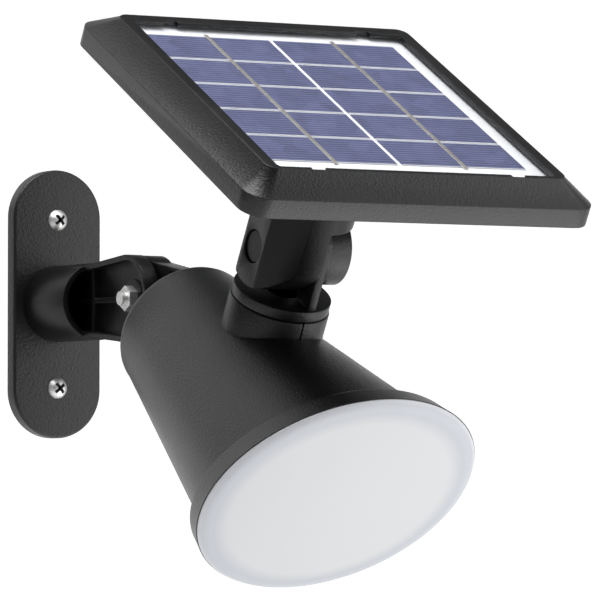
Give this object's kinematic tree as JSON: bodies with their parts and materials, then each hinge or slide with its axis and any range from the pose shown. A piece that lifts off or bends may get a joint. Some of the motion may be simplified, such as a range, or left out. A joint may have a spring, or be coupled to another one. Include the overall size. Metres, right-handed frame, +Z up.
{
  "type": "solar garden light",
  "caption": "Wall-mounted solar light: a bracket carries a tilting cone lamp head, and a solar panel swivels and tilts on top of it.",
  "frame": {"origin": "centre of the wall plate's back face, where it meets the wall", "axes": "+Z up, +Y into the wall, +X to the right when facing the wall; the light projects towards -Y"},
  "size_m": [0.132, 0.2935, 0.1943],
  "materials": {
    "black_plastic": "fine sand-grain texture",
    "zinc_steel": "zinc plated",
    "seal_rubber": "matte",
    "milky_lens": "milky satin",
    "white_plastic": "gloss",
    "board": "solder mask",
    "led_yellow": "phosphor",
    "grey_plastic": "moulded",
    "battery_wrap": "shrink wrap",
    "component_black": "moulded",
    "lead_red": "PVC",
    "white_laminate": "satin laminate",
    "solar_cell": "polycrystalline silicon",
    "tinned_ribbon": "tinned copper",
    "clear_cover": "clear",
    "button_red": "moulded"
  },
  "bodies": {
    "wall_mount": {"wall_plate": "black_plastic", "wall_screws": "zinc_steel"},
    "wall_arm": {"wall_post": "black_plastic", "post_screw": "zinc_steel", "post_washer": "zinc_steel", "tilt_bolt": "zinc_steel", "tilt_nut": "zinc_steel", "friction_washer": "seal_rubber"},
    "lamp_head": {"head_arm": "black_plastic", "arm_screws": "zinc_steel", "lamp_housing": "black_plastic", "bezel_ring": "black_plastic", "lens_gasket": "seal_rubber", "diffuser_lens": "milky_lens", "reflector": "white_plastic", "led_board": "board", "led_chips": "led_yellow", "battery_holder": "grey_plastic", "battery_cell": "battery_wrap", "control_board": "board", "control_parts": "component_black", "board_screws": "zinc_steel", "lamp_leads": "lead_red", "swivel_seal": "seal_rubber"},
    "panel_arm": {"swivel_base": "black_plastic", "swivel_washer": "zinc_steel", "swivel_locknut": "grey_plastic", "panel_bolt": "zinc_steel", "panel_nut": "zinc_steel"},
    "panel": {"panel_knuckle": "black_plastic", "knuckle_screws": "zinc_steel", "panel_back": "black_plastic", "panel_frame": "black_plastic", "panel_gasket": "seal_rubber", "panel_backsheet": "white_laminate", "solar_cells": "solar_cell", "cell_ribbons": "tinned_ribbon", "panel_cover": "clear_cover", "frame_screws": "zinc_steel", "junction_box": "grey_plastic", "panel_leads": "lead_red", "switch_body": "grey_plastic"},
    "switch_cap": {"switch_button": "button_red"}
  },
  "joints": [
    {"name": "wall_swivel", "type": "hinge", "parent": "wall_mount", "child": "wall_arm", "pos_m": [0, 0, 0], "axis": [0, 1, 0], "range_deg": [-90, 90]},
    {"name": "head_tilt", "type": "hinge", "parent": "wall_arm", "child": "lamp_head", "pos_m": [0, -0.071, 0], "axis": [1, 0, 0], "range_deg": [-45, 45]},
    {"name": "panel_swivel", "type": "hinge", "parent": "lamp_head", "child": "panel_arm", "pos_m": [0, -0.17196, -0.00474], "axis": [0, -0.4848, 0.8746], "range_deg": [-165, 165]},
    {"name": "panel_tilt", "type": "hinge", "parent": "panel_arm", "child": "panel", "pos_m": [0, -0.18233, 0.01398], "axis": [1, 0, 0], "range_deg": [-30, 30]},
    {"name": "switch_press", "type": "slide", "parent": "panel", "child": "switch_cap", "axis": [0, -0.4848, 0.8746], "range_m": [0, 0.0012], "stiffness_N_per_m": 400, "springref_m": -0.001}
  ]
}
